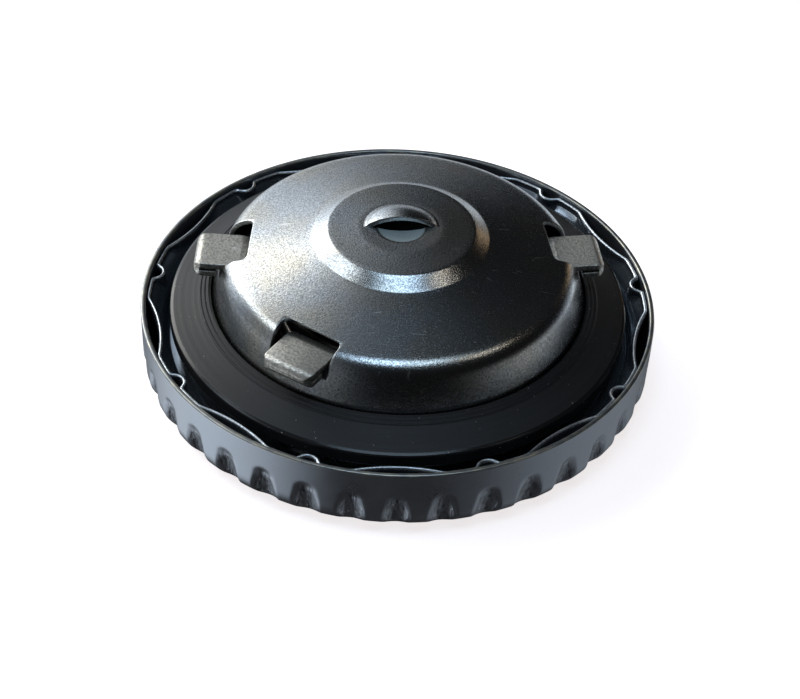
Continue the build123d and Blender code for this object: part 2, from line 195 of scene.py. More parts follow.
class CupSizes(bpy.types.PropertyGroup):
    """Sizes of the plated cup, its louvre and its windows."""

    sheet: length("Sheet", "Thickness of the cup's sheet", 0.8 * MM)
    boss_flat: length("Boss flat", "Radius of the boss's flat middle", 6.6 * MM)
    boss_crown: length("Boss crown", "Fall of the boss's top to its edge", 0.35 * MM)
    boss_radius: length("Boss radius", "Radius of the boss's upper edge", 11.75 * MM)
    boss_foot: length("Boss foot", "Radius of the boss's foot", 14.1 * MM)
    boss_height: length("Boss height", "Height of the boss above its foot", 1.95 * MM)
    shoulder_radius: length("Shoulder radius", "Radius where the face turns into the wall", 27.9 * MM)
    shoulder_height: length("Shoulder height", "Height of that corner above the lip", 9.6 * MM)
    foot_radius: length("Foot radius", "Radius where the wall turns into the brim", 30.4 * MM)
    foot_height: length("Foot height", "Height of that corner above the lip", 0.2 * MM)
    louvre_radius: length("Louvre radius", "Half the length of the slit", 6 * MM)
    louvre_rise: length("Louvre rise", "Height of the raised half", 2 * MM)
    dish_radius: length("Dish radius", "Radius of the sunk half", 4.3 * MM)
    dish_sink: length("Dish sink", "Depth of the sunk half", 0.8 * MM)
    louvre_turn: angle("Louvre turn", "Turn of the slit round the axis", 4)
    window_width: length("Window width", "Width of the windows on the left and right", 10.2 * MM)
    near_window: length("Near window", "Width of the near window", 10.8 * MM)
    window_chord: length("Window chord", "From the axis to a window's inner edge", 24.1 * MM)
    window_floor: length("Window floor", "Height of a window's lower edge above the base", 18.7 * MM)
    window_corner: length("Window corner", "Radius of a window's inner corners", 1.1 * MM)


class LugSizes(bpy.types.PropertyGroup):
    """Sizes of the three folded lugs."""

    sheet: length("Sheet", "Thickness of the lug plate", 1.0 * MM)
    width: length("Width", "Width of the lugs on the left and right", 8.0 * MM)
    near_width: length("Near width", "Width of the near lug", 9.0 * MM)
    level: length("Level", "Height of the lugs above the lip", 8.5 * MM)
    reach: length("Reach", "Radius of the tips of the lugs on the left and right", 32.8 * MM)
    near_reach: length("Near reach", "Radius of the near lug's tip", 32.2 * MM)
    fold: length("Fold", "Height of the fold under a lug", 2.5 * MM)
    fold_return: length("Fold return", "How far the fold runs back under the lug", 3.6 * MM)
    corner: length("Corner", "Radius of a lug's corners seen from above", 1.4 * MM)
    arm_radius: length("Arm radius", "Radius of the arms inside the cup", 23.0 * MM)
    arm_bend: length("Arm bend", "Radius of the bend where an arm turns out to its lug", 1.2 * MM)
    root_run: length("Root run", "Length of the sloping root of a lug", 2.2 * MM)
    root_drop: length("Root drop", "Fall of that root", 0.9 * MM)
    root_bend: length("Root bend", "Radius of the bend above that root", 2.0 * MM)


class GasketSizes(bpy.types.PropertyGroup):
    """Sizes of the coned rubber ring."""

    thickness: length("Thickness", "Thickness of the ring, square to its face", 2.2 * MM)
    slope: angle("Slope", "Slope of the ring's face", 24.4)
    edge: length("Edge round", "Radius of the ring's edges", 0.35 * MM)
    ridges: bpy.props.IntProperty(name="Ridges", description="Fine ridges near the inner edge", default=3)
    ridge_pitch: length("Ridge pitch", "Distance between the ridges", 0.65 * MM)
    ridge_height: length("Ridge height", "Height of a ridge above the face", 0.16 * MM)


class FinishColours(bpy.types.PropertyGroup):
    """Colours of the finishes."""

    satin: colour("Satin black", "Coating of the cover", (0.20, 0.215, 0.24))
    lip: colour("Worn lip", "Rubbed edge of the cover", (0.42, 0.40, 0.34))
    gloss: colour("Gloss black", "Coating of the liner", (0.22, 0.25, 0.29))
    sheared: colour("Sheared edge", "Bare edge of the liner's rim", (0.85, 0.90, 0.95))
    zinc: colour("Zinc", "Plating of the cup", (0.50, 0.52, 0.54))
    zinc_warm: colour("Warm zinc", "Where the plating has yellowed", (0.52, 0.47, 0.38))
    bloom: colour("Bloom", "Pale film in the louvre's dish", (0.36, 0.44, 0.46))
    lug_zinc: colour("Lug plating", "Plating of the lugs", (0.66, 0.63, 0.57))
    rubber: colour("Rubber", "Gasket", (0.014, 0.0135, 0.014))
    dust: colour("Dust", "Specks on the rubber", (0.30, 0.29, 0.27))
    spring: colour("Spring steel", "Wire of the spring", (0.22, 0.21, 0.20))
    felt: colour("Felt", "Filter pad", (0.055, 0.052, 0.048))
    fibre: colour("Seal", "Sealing disc", (0.035, 0.035, 0.037))


class StageSettings(bpy.types.PropertyGroup):
    """Camera, lights and floor."""

    lens: amount("Lens", "Focal length in millimetres on a sensor 36 mm wide", 135)
    distance: length("Distance", "From the camera to the centre of the lip", 484.85 * MM)
    elevation: angle("Elevation", "Angle of the camera above the floor", 39.42)
    roll: angle("Roll", "Tilt of the camera", -2.69)
    centre_x: amount("Centre across", "Where the lip's centre shows, in pixels from the left", 398.0)
    centre_y: amount("Centre down", "Where the lip's centre shows, in pixels from the top", 301.8)
    floor_colour: colour("Floor", "Colour of the floor", (0.90, 0.86, 0.86))
    floor_glow: amount("Floor glow", "Light that the floor gives by itself", 0.86)
    key: amount("Key light", "Power of the light behind on the left", 2.6)
    side: amount("Side light", "Power of the light on the left", 1.5)
    spot: amount("Small light", "Power of the small light on the right", 0.22)
    top: amount("Top light", "Power of the bluish light above", 2.0)
    card: amount("Warm card", "Power of the small warm light low on the right", 0.10)
    left_wall: amount("Left wall", "Brightness of the studio low on the left", 2.3)
    right_wall: amount("Right wall", "Brightness of the studio low on the right", 0.6)
    rear_wall: amount("Rear wall", "Brightness of the wall behind on the left", 1.8)
    rear_band: amount("Rear band", "Brightness of the band low behind the cap", 0.85)
    dark: amount("Dark", "Brightness of the rest of the studio", 0.010)


GROUPS = {
    "cap_cover": CoverSizes,
    "cap_liner": LinerSizes,
    "cap_cup": CupSizes,
    "cap_lugs": LugSizes,
    "cap_gasket": GasketSizes,
    "cap_colours": FinishColours,
    "cap_stage": StageSettings,
}


# Outlines: points of radius and height

def rounded_path(corners, radii, steps):
    """The path through the corners, each inner corner rounded by an arc of its radius."""
    points = [Vector(corners[0])]
    for before, corner, after, radius in zip(corners, corners[1:], corners[2:], radii):
        corner = Vector(corner)
        to_before = (Vector(before) - corner).normalized()
        to_after = (Vector(after) - corner).normalized()
        half = to_before.angle(to_after) / 2
        reach = radius / math.tan(half)
        centre = corner + (to_before + to_after).normalized() * (radius / math.sin(half))
        start = corner + to_before * reach - centre
        end = corner + to_after * reach - centre
        turn = start.angle_signed(end) if radius > 0 else 0
        for i in range(steps + 1):
            arm = start.copy()
            arm.rotate(Matrix.Rotation(-turn * i / steps, 2))
            points.append(centre + arm)
    points.append(Vector(corners[-1]))
    return points


def moved_right(points, distance):
    """The path moved to its right by a distance."""
    moved = []
    last = len(points) - 1
    for i, point in enumerate(points):
        along = (points[min(i + 1, last)] - points[max(i - 1, 0)]).normalized()
        moved.append(point + Vector((along.y, -along.x)) * distance)
    return moved


def spaced(points, step):
    """The path with points added so that none are further apart than a step."""
    finer = [points[0]]
    for start, end in zip(points, points[1:]):
        count = max(1, math.ceil((end - start).length / step))
        finer += [start.lerp(end, (i + 1) / count) for i in range(count)]
    return finer


def sheet_outline(path, thickness, edge):
    """Closed outline of a sheet to the left of its path, tagged for the lathe.

    Each point is radius, height, depth under the path's face, and 1 where the strip
    that starts there is the sheared edge."""
    far = moved_right(path, -thickness)
    ends = rounded_path([path[-2], path[-1], far[-1], far[-2]], [edge, edge], 3)[1:-1]
    outline = [(p.x, p.y, 0, 0) for p in path[:-1]]
    outline += [(p.x, p.y, thickness * i / (len(ends) - 1), 1) for i, p in enumerate(ends)]
    outline += [(max(p.x, 0), p.y, thickness, 0) for p in reversed(far[:-1])]
    return outline


def turned_mesh(name, outline, columns):
    """Closed mesh of a tagged outline turned round Z. Points on the axis become one pole."""
    vertices = []
    depths = []
    rows = []
    for radius, height, depth, _ in outline:
        if radius < TINY:
            rows.append([len(vertices)] * columns)
            vertices.append((0, 0, height))
            depths.append(depth)
            continue
        rows.append(list(range(len(vertices), len(vertices) + columns)))
        for j in range(columns):
            turn = FULL_TURN * j / columns
            vertices.append((radius * math.cos(turn), radius * math.sin(turn), height))
            depths.append(depth)
    faces = []
    bare = []
    for i, row in enumerate(rows):
        after = rows[(i + 1) % len(rows)]
        if row[0] == row[-1] and after[0] == after[-1]:
            continue
        for j in range(columns):
            k = (j + 1) % columns
            corners = dict.fromkeys((row[j], row[k], after[k], after[j]))
            faces.append(tuple(corners))
            bare.append(outline[i][3])
    mesh = bpy.data.meshes.new(name)
    mesh.from_pydata(vertices, [], faces)
    mesh.attributes.new("sheet_depth", "FLOAT", "POINT").data.foreach_set("value", depths)
    mesh.attributes.new("bare_edge", "FLOAT", "FACE").data.foreach_set("value", [float(b) for b in bare])
    return tidy_mesh(mesh)


def write_smooth(work, mesh):
    """Writes the worked faces to a mesh, all shaded smooth."""
    for face in work.faces:
        face.smooth = True
    work.to_mesh(mesh)
    work.free()
    return mesh


def tidy_mesh(mesh, merge=TINY):
    """Merges doubles, turns every face outward and shades the mesh smooth."""
    work = bmesh.new()
    work.from_mesh(mesh)
    bmesh.ops.remove_doubles(work, verts=work.verts, dist=merge)
    bmesh.ops.recalc_face_normals(work, faces=work.faces)
    return write_smooth(work, mesh)


def new_piece(name, mesh):
    """An object at the origin for a finished mesh."""
    piece = bpy.data.objects.new(name, mesh)
    bpy.context.scene.collection.objects.link(piece)
    return piece


def settle(piece):
    """Turns the piece's modifiers into plain mesh."""
    bpy.context.view_layer.update()
    graph = bpy.context.evaluated_depsgraph_get()
    made = bpy.data.meshes.new_from_object(
        piece.evaluated_get(graph), preserve_all_data_layers=True, depsgraph=graph
    )
    piece.modifiers.clear()
    piece.data = made


def soften(piece, width, segments):
    """Rounds the piece's sharp edges over a width and turns all its modifiers into plain mesh."""
    soft = piece.modifiers.new("soft_edges", "BEVEL")
    soft.width = width
    soft.segments = segments
    soft.limit_method = "ANGLE"
    soft.angle_limit = SOFT_ANGLE
    soft.use_clamp_overlap = False
    settle(piece)


def sharpen(piece):
    """Keeps edges sharp where faces meet at a large angle."""
    mesh = piece.data
    work = bmesh.new()
    work.from_mesh(mesh)
    for edge in work.edges:
        edge.smooth = len(edge.link_faces) == 2 and edge.calc_face_angle(0) < SHARP_ANGLE
    work.to_mesh(mesh)
    work.free()


# Node trees

def put(tree, kind, values=None, **settings):
    """Adds a node. Values go to its inputs by name or number, and sockets are linked."""
    node = tree.nodes.new(kind)
    for name, value in settings.items():
        setattr(node, name, value)
    for key, value in (values or {}).items():
        if isinstance(value, bpy.types.NodeSocket):
            tree.links.new(value, node.inputs[key])
        else:
            node.inputs[key].default_value = value
    return node


def math_of(tree, operation, *values):
    """The result of a math node."""
    return put(tree, "ShaderNodeMath", dict(enumerate(values)), operation=operation).outputs[0]


def product_of(tree, result, *others):
    """The product of two or more values, by math nodes."""
    for other in others:
        result = math_of(tree, "MULTIPLY", result, other)
    return result


def radius_of(tree, place):
    """Distance of a place from the cap's axis."""
    flat = put(tree, "ShaderNodeVectorMath", {0: place, 1: (1, 1, 0)}, operation="MULTIPLY").outputs[0]
    return put(tree, "ShaderNodeVectorMath", {0: flat}, operation="LENGTH").outputs["Value"]


def dent_tree():
    """The tree that presses a ring of equal dents into a turned mesh, as a round-nosed punch does."""
    if "press_dents" in bpy.data.node_groups:
        return bpy.data.node_groups["press_dents"]
    tree = bpy.data.node_groups.new("press_dents", "GeometryNodeTree")
    face = tree.interface
    face.new_socket("Geometry", in_out="INPUT", socket_type="NodeSocketGeometry")
    face.new_socket("Geometry", in_out="OUTPUT", socket_type="NodeSocketGeometry")
    face.new_socket("Count", in_out="INPUT", socket_type="NodeSocketInt")
    for name in ("Phase", "Punch Radius", "Reach", "Nose Height", "Lean", "Softness", "Streaks"):
        face.new_socket(name, in_out="INPUT", socket_type="NodeSocketFloat")
    face.new_socket("Material", in_out="INPUT", socket_type="NodeSocketMaterial")
    given = tree.nodes.new("NodeGroupInput").outputs
    place = put(tree, "GeometryNodeInputPosition").outputs[0]
    apart = put(tree, "ShaderNodeSeparateXYZ", {0: place}).outputs
    radius = radius_of(tree, place)
    turn = math_of(tree, "ARCTAN2", apart[1], apart[0])
    half = math_of(tree, "DIVIDE", math.pi, given["Count"])
    local = math_of(tree, "SUBTRACT", turn, given["Phase"])
    local = math_of(tree, "WRAP", local, half, product_of(tree, half, -1))
    depth = put(tree, "GeometryNodeInputNamedAttribute", {"Name": "sheet_depth"},
                data_type="FLOAT").outputs[0]
    rise = math_of(tree, "SUBTRACT", apart[2], given["Nose Height"])
    above = math_of(tree, "MAXIMUM", rise, 0)
    below = math_of(tree, "MINIMUM", rise, 0)
    centre = math_of(tree, "MULTIPLY_ADD", below, given["Lean"],
                     math_of(tree, "ADD", given["Reach"], given["Punch Radius"]))
    punch = math_of(tree, "ADD", given["Punch Radius"], depth)
    aside = product_of(tree, centre, math_of(tree, "SINE", local))
    square = math_of(tree, "SUBTRACT", math_of(tree, "POWER", punch, 2), math_of(tree, "POWER", above, 2))
    square = math_of(tree, "SUBTRACT", square, product_of(tree, aside, aside))
    chord = math_of(tree, "SQRT", math_of(tree, "MAXIMUM", square, 0))
    wall = math_of(tree, "SUBTRACT", product_of(tree, centre, math_of(tree, "COSINE", local)), chord)
    # Where the punch doesn't reach, its wall is put a metre away
    wall = math_of(tree, "ADD", wall, math_of(tree, "LESS_THAN", square, 0))
    pressed_to = math_of(tree, "SMOOTH_MIN", radius, wall, given["Softness"])
    pressed = math_of(tree, "SUBTRACT", radius, pressed_to)
    grain_place = put(tree, "ShaderNodeCombineXYZ", {
        0: product_of(tree, turn, STREAK_TURNS),
        1: product_of(tree, apart[2], STREAK_ROWS),
    }).outputs[0]
    grain = put(tree, "ShaderNodeTexNoise", {"Vector": grain_place, "Scale": 1.0, "Detail": 3.0}).outputs[0]
    share = math_of(tree, "MINIMUM", math_of(tree, "DIVIDE", pressed, STREAK_DEPTH), 1)
    streak = product_of(tree, share, given["Streaks"], math_of(tree, "SUBTRACT", grain, 0.5))
    new_radius = math_of(tree, "ADD", pressed_to, streak)
    scale = math_of(tree, "DIVIDE", new_radius, math_of(tree, "MAXIMUM", radius, MERGE))
    new_place = put(tree, "ShaderNodeCombineXYZ", {
        0: product_of(tree, apart[0], scale),
        1: product_of(tree, apart[1], scale),
        2: apart[2],
    }).outputs[0]
    kept = put(tree, "GeometryNodeStoreNamedAttribute",
               {"Geometry": given["Geometry"], "Name": "pressed", "Value": pressed},
               data_type="FLOAT", domain="POINT").outputs[0]
    moved = put(tree, "GeometryNodeSetPosition", {"Geometry": kept, "Position": new_place}).outputs[0]
    real = put(tree, "GeometryNodeRealizeInstances", {"Geometry": moved}).outputs[0]
    done = put(tree, "GeometryNodeSetMaterial", {"Geometry": real, "Material": given["Material"]}).outputs[0]
    put(tree, "NodeGroupOutput", {"Geometry": done})
    return tree


def run_tree(piece, tree, values):
    """Runs a geometry tree on the piece with named inputs and keeps the result as mesh."""
    modifier = piece.modifiers.new(tree.name, "NODES")
    modifier.node_group = tree
    for item in tree.interface.items_tree:
        if item.in_out == "INPUT" and item.name in values:
            modifier[item.identifier] = values[item.name]
    settle(piece)


# Finishes

def shade(tint, share):
    """A colour made darker or lighter."""
    return [part * share for part in tint]


class Finish:
    """One procedural material, with short ways to add its nodes."""

    def __init__(self, name, **shader):
        self.material = bpy.data.materials.new(name)
        self.material.use_nodes = True
        self.tree = self.material.node_tree
        self.shader = self.tree.nodes["Principled BSDF"]
        self.place = put(self.tree, "ShaderNodeTexCoord").outputs["Object"]
        for socket, value in shader.items():
            self.set(socket.replace("_", " "), value)

    def feed(self, socket, value):
        """Links a value to an input, or sets it there. A colour gets its alpha."""
        if isinstance(value, bpy.types.NodeSocket):
            self.tree.links.new(value, socket)
        else:
            socket.default_value = (*value, 1) if hasattr(value, "__len__") else value

    def set(self, socket, value):
        """Feeds one of the shader's inputs, named with any capitals."""
        self.feed(next(s for s in self.shader.inputs if s.name.lower() == socket.lower()), value)

    def math(self, operation, *values):
        """A math node's result."""
        return math_of(self.tree, operation, *values)

    def times(self, *values):
        """The product of values."""
        return product_of(self.tree, *values)

    def noise(self, size, detail=2.0, stretch=(1, 1, 1), roughness=0.5):
        """Noise whose features are about a size in metres, stretched along the axes."""
        place = put(self.tree, "ShaderNodeMapping", {"Vector": self.place, "Scale": stretch}).outputs[0]
        return put(self.tree, "ShaderNodeTexNoise", {
            "Vector": place, "Scale": 1 / size, "Detail": detail, "Roughness": roughness,
        }).outputs[0]

    def cells(self, size):
        """Distance to the nearest of random points that lie about a size apart."""
        values = {"Vector": self.place, "Scale": 1 / size}
        return put(self.tree, "ShaderNodeTexVoronoi", values).outputs["Distance"]

    def ramp(self, value, low, high, to_low=0.0, to_high=1.0):
        """A value's range spread to another range, and held at its ends."""
        return put(self.tree, "ShaderNodeMapRange", {
            0: value, 1: low, 2: high, 3: to_low, 4: to_high,
        }).outputs[0]

    def mix(self, share, first, second):
        """Two colours mixed by a share."""
        node = put(self.tree, "ShaderNodeMix", data_type="RGBA")
        for key, value in (("Factor_Float", share), ("A_Color", first), ("B_Color", second)):
            self.feed(next(s for s in node.inputs if s.identifier == key), value)
        return next(s for s in node.outputs if s.identifier == "Result_Color")

    def vary(self, share, tint, low, high):
        """A colour that varies from one shade to another."""
        return self.mix(share, shade(tint, low), shade(tint, high))

    def bump(self, *heights):
        """Bumps the surface by heights in metres, each with a strength."""
        normal = None
        for height, strength in heights:
            values = {"Height": height, "Distance": 1.0, "Strength": strength}
            if normal is not None:
                values["Normal"] = normal
            normal = put(self.tree, "ShaderNodeBump", values).outputs[0]
        self.set("Normal", normal)

    def attribute(self, name):
        """A named value stored on the mesh."""
        return put(self.tree, "ShaderNodeAttribute", attribute_name=name).outputs["Fac"]

    def radius(self):
        """Distance from the cap's axis."""
        return radius_of(self.tree, self.place)

    def height(self):
        """Height above the base."""
        return put(self.tree, "ShaderNodeSeparateXYZ", {0: self.place}).outputs["Z"]


def satin_black(colours):
    """Coating of the cover: satin, scored in the dents and darkened there by painted shade, rubbed pale along
    the lip.
    """
    finish = Finish("satin_black", metallic=0.9)
    bare = finish.attribute("bare_edge")
    pressed = finish.attribute("pressed")
    cloud = finish.noise(6 * MM, 4)
    grain = finish.noise(0.30 * MM, 3)
    score = finish.noise(0.45 * MM, 3, (1, 1, 0.10))
    dent = finish.ramp(pressed, 0.10 * MM, 0.45 * MM)
    patches = finish.ramp(finish.noise(2.5 * MM, 3), 0.40, 0.62)
    rubbed = finish.times(bare, finish.ramp(patches, 0, 1, 0.25, 0.9))
    broken = finish.ramp(finish.noise(0.8 * MM, 2), 0.50, 0.58)
    glint = finish.times(finish.ramp(score, 0.66, 0.70), dent, broken)
    tint = finish.vary(cloud, colours.satin, 0.85, 1.15)
    # Painted shade: the coating turns darker along the low streaks down in the dents
    tint = finish.mix(finish.times(finish.ramp(score, 0.5, 0.3), dent), tint, (0.07, 0.07, 0.078))
    tint = finish.mix(rubbed, tint, colours.lip)
    finish.set("Base Color", finish.mix(glint, tint, (0.8, 0.8, 0.78)))
    finish.set("Roughness", finish.ramp(cloud, 0.3, 0.7, 0.27, 0.36))
    finish.bump((finish.times(grain, 0.012 * MM), 0.5), (finish.times(score, dent, 0.16 * MM), 0.9))
    return finish.material


def gloss_black(colours):
    """Coating of the liner: deep gloss with a bright sheared edge and faint dust."""
    finish = Finish("gloss_black")
    bare = finish.attribute("bare_edge")
    sparkle = finish.cells(0.35 * MM)
    patch = finish.ramp(finish.noise(3 * MM, 2), 0.35, 0.6)
    edge = finish.vary(finish.ramp(sparkle, 0.15, 0.5), colours.sheared, 1.0, 0.5)
    edge = finish.mix(patch, shade(colours.sheared, 0.7), edge)
    speck = finish.ramp(finish.cells(1.9 * MM), 0.05, 0.08, 1, 0)
    tint = finish.mix(speck, colours.gloss, (0.12, 0.12, 0.12))
    finish.set("Base Color", finish.mix(bare, tint, edge))
    finish.set("Metallic", finish.math("MULTIPLY_ADD", bare, 0.15, 0.85))
    gloss = finish.ramp(finish.noise(9 * MM), 0.3, 0.7, 0.08, 0.15)
    finish.set("Roughness", finish.math("MULTIPLY_ADD", bare, 0.25, gloss))
    wave = finish.times(finish.noise(4 * MM, 2), 0.03 * MM)
    finish.bump((wave, 0.6), (finish.times(sparkle, 0.02 * MM), bare))
    return finish.material


def hairline(finish, turn, size):
    """Thin broken scratches that run mostly one way. Gives 1 on a scratch."""
    way = {"Vector": finish.place, "Rotation": (0, 0, turn), "Scale": (0.12, 1, 1)}
    place = put(finish.tree, "ShaderNodeMapping", way).outputs[0]
    wander = put(finish.tree, "ShaderNodeTexNoise",
                 {"Vector": place, "Scale": 1 / size, "Detail": 0.0}).outputs[0]
    line = finish.ramp(finish.math("ABSOLUTE", finish.math("SUBTRACT", wander, 0.5)), 0.0010, 0.0034, 1, 0)
    return finish.times(line, finish.ramp(finish.noise(2.6 * MM, 1), 0.57, 0.66))


def plated(name, base, warm, grain_size=0.28 * MM, roughness=(0.17, 0.30), depth=0.045 * MM):
    """Zinc plating: fine sparkling grain, clouds of tint and hairline scratches."""
    finish = Finish(name, metallic=1.0)
    cloud = finish.noise(11 * MM, 4)
    fine = finish.noise(grain_size, 4, roughness=0.65)
    scratch = finish.math("MAXIMUM", hairline(finish, 0.8, 5 * MM), hairline(finish, 2.2, 6 * MM))
    tint = finish.mix(finish.ramp(cloud, 0.40, 0.75), base, warm)
    tint = finish.mix(finish.ramp(fine, 0.42, 0.60, 0, 0.75), tint, shade(base, 0.35))
    tint = finish.mix(finish.times(scratch, 0.35), tint, (0.8, 0.8, 0.8))
    finish.set("Base Color", tint)
    rough = finish.ramp(fine, 0.3, 0.7, *roughness)
    finish.set("Roughness", finish.math("MULTIPLY_ADD", scratch, 0.1, rough))
    finish.bump((finish.times(fine, depth), 0.6), (finish.times(scratch, -0.006 * MM), 0.5))
    return finish


def zinc_cup(colours, dish_radius, dish_level):
    """Plating of the cup, with a pale bloom down in the louvre's dish."""
    finish = plated("zinc_cup", colours.zinc, colours.zinc_warm)
    inside = finish.ramp(finish.radius(), dish_radius, dish_radius - 0.2 * MM)
    sunk = finish.ramp(finish.height(), dish_level - 0.05 * MM, dish_level - 0.25 * MM)
    bloom = finish.times(inside, sunk)
    tint = finish.shader.inputs["Base Color"].links[0].from_socket
    finish.set("Base Color", finish.mix(finish.times(bloom, 0.8), tint, colours.bloom))
    finish.set("Metallic", finish.math("MULTIPLY_ADD", bloom, -0.8, 1.0))
    return finish.material


def cut_zinc(colours):
    """Sheared edges of the cup's sheet, brighter than its faces."""
    return plated("cut_zinc", (0.80, 0.82, 0.84), (0.7, 0.68, 0.62), 0.2 * MM, (0.22, 0.38)).material


def zinc_lugs(colours):
    """Plating of the lugs, warmer and coarser."""
    worn = shade(colours.lug_zinc, 0.8)
    return plated("zinc_lugs", colours.lug_zinc, worn, 0.42 * MM, (0.32, 0.58), 0.10 * MM).material


def matt_rubber(colours):
    """Moulded rubber: matt, with fine rings, light dust and a rubbed outer edge."""
    finish = Finish("matt_rubber", specular_ior_level=0.3)
    radius = finish.radius()
    ring = finish.math("SINE", finish.times(radius, FULL_TURN / (0.42 * MM)))
    band = put(finish.tree, "ShaderNodeTexNoise", {
        "W": finish.times(radius, 1 / (0.9 * MM)), "Scale": 1.0, "Detail": 3.0,
    }, noise_dimensions="1D").outputs[0]
    grain = finish.noise(0.25 * MM, 3)
    speck = finish.ramp(finish.cells(1.3 * MM), 0.05, 0.10, 1, 0)
    dusty = finish.times(speck, finish.ramp(finish.noise(3 * MM), 0.45, 0.6))
    tint = finish.vary(finish.ramp(band, 0.3, 0.7), colours.rubber, 0.85, 1.2)
    finish.set("Base Color", finish.mix(dusty, tint, colours.dust))
    polished = finish.times(finish.ramp(radius, *RUBBED_EDGE), -0.34)
    finish.set("Roughness", finish.math("ADD", finish.ramp(band, 0.3, 0.7, 0.50, 0.58), polished))
    finish.bump((finish.times(ring, 0.003 * MM), 0.4), (finish.times(grain, 0.02 * MM), 0.5))
    return finish.material


def spring_wire(colours):
    """Drawn spring wire: dark, with fine lines round the coil."""
    finish = Finish("spring_wire", metallic=1.0)
    line = finish.noise(0.15 * MM, 2, (1, 1, 3))
    finish.set("Base Color", finish.vary(line, colours.spring, 0.6, 1.4))
    finish.set("Roughness", finish.ramp(line, 0.3, 0.7, 0.28, 0.45))
    finish.bump((finish.times(line, 0.01 * MM), 0.5))
    return finish.material


def filter_felt(colours):
    """Dark felt: soft, fibrous and uneven."""
    finish = Finish("filter_felt", roughness=0.95, sheen_weight=0.35)
    fibre = finish.noise(0.3 * MM, 5, (1, 1, 2), 0.7)
    finish.set("Base Color", finish.vary(fibre, colours.felt, 0.5, 1.6))
    finish.bump((finish.times(fibre, 0.15 * MM), 0.8))
    return finish.material


def seal_fibre(colours):
    """Thin sealing sheet: matt with a fine grain."""
    finish = Finish("seal_fibre", roughness=0.8)
    grain = finish.noise(0.2 * MM, 3)
    finish.set("Base Color", finish.vary(grain, colours.fibre, 0.7, 1.4))
    finish.bump((finish.times(grain, 0.02 * MM), 0.5))
    return finish.material


# Pieces

def finish_piece(piece, body, node):
    """Seats a finished piece in the frame in place of its node."""
    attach(piece, body)
    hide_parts(node)


class CAP_OT_cover(bpy.types.Operator):
    """Make the pressed outer cover with its grip dents"""

    bl_idname = "cap.cover"
    bl_label = "Cover"

    def execute(self, context):
        sizes = context.scene.cap_cover
        colours = context.scene.cap_colours
        top = COVER_HIGH.x
        corners = [(0, 0), (top - sizes.taper, 0), (top, LIP)]
        path = rounded_path(corners, [sizes.corner], 16)
        path = spaced(path[:2], COVER_BASE_STEP) + spaced(path[1:], COVER_SKIRT_STEP)[1:]
        outline = sheet_outline(path, sizes.sheet, COVER_EDGE)
        piece = new_piece("cover_shell", turned_mesh("cover_shell", outline, COVER_COLUMNS))
        nose = LIP - sizes.dent_drop
        skirt = top - sizes.taper * sizes.dent_drop / LIP
        run_tree(piece, dent_tree(), {
            "Count": sizes.dents,
            "Phase": sizes.dent_phase,
            "Punch Radius": sizes.dent_rod,
            "Reach": skirt - sizes.dent_depth,
            "Nose Height": nose,
            "Lean": math.tan(sizes.dent_lean),
            "Softness": sizes.dent_soft,
            "Streaks": sizes.streaks,
            "Material": satin_black(colours),
        })
        finish_piece(piece, COVER_BODY, "cover")
        return {"FINISHED"}


class CAP_OT_liner(bpy.types.Operator):
    """Make the glossy liner, its rim pressed in by long and short dents"""

    bl_idname = "cap.liner"
    bl_label = "Liner"

    def execute(self, context):
        sizes = context.scene.cap_liner
        colours = context.scene.cap_colours
        top = LINER_HIGH.z
        floor = LINER_LOW.z + sizes.sheet
        outer = COVER_HIGH.x - context.scene.cap_cover.sheet - LINER_CLEARANCE
        rim = outer - sizes.sheet
        shelf = LIP - sizes.shelf_drop
        shelf_outer = rim - sizes.waist_step - sizes.shelf_step
        pad_top = floor + sizes.pad_rise
        corners = [
            (0, pad_top),
            (sizes.pad_radius, pad_top),
            (sizes.pad_radius + sizes.pad_rise / 2, floor),
            (sizes.well_radius, floor),
            (sizes.well_radius + sizes.well_flare, shelf),
            (shelf_outer - sizes.shelf_slant, shelf),
            (shelf_outer, shelf - sizes.shelf_fall),
            (rim - sizes.waist_step, LIP - sizes.waist_drop),
            (rim, top - sizes.rim_height),
            (rim, top),
        ]
        path = rounded_path(corners, LINER_ROUNDS, 6)
        floor_points = sum(point.x < sizes.well_radius for point in path)
        across_floor = spaced(path[:floor_points], LINER_FLOOR_STEP)
        path = across_floor + spaced(path[floor_points - 1:], LINER_WALL_STEP)[1:]
        outline = sheet_outline(path, -sizes.sheet, LINER_EDGE)
        outline = [(r, z, sizes.sheet - abs(depth), bare) for r, z, depth, bare in outline]
        piece = new_piece("liner_shell", turned_mesh("liner_shell", outline, LINER_COLUMNS))
        tree = dent_tree()
        material = gloss_black(colours)
        half_pitch = math.pi / sizes.dents
        long_dent = (sizes.long_angle, sizes.long_reach, sizes.dent_phase)
        short_dent = (sizes.short_angle, sizes.short_reach, sizes.dent_phase + half_pitch)
        for half_angle, reach, phase in (long_dent, short_dent):
            bottom = rim - reach
            chord = outer * math.cos(half_angle)
            punch = (outer ** 2 + bottom ** 2 - 2 * bottom * chord) / (2 * (chord - bottom))
            run_tree(piece, tree, {
                "Count": sizes.dents,
                "Phase": phase,
                "Punch Radius": punch - sizes.sheet,
                "Reach": bottom + sizes.sheet,
                "Nose Height": 2 * LIP,
                "Lean": 0.0,
                "Softness": sizes.dent_soft,
                "Streaks": 0.0,
                "Material": material,
            })
        finish_piece(piece, COVER_BODY, "liner")
        return {"FINISHED"}


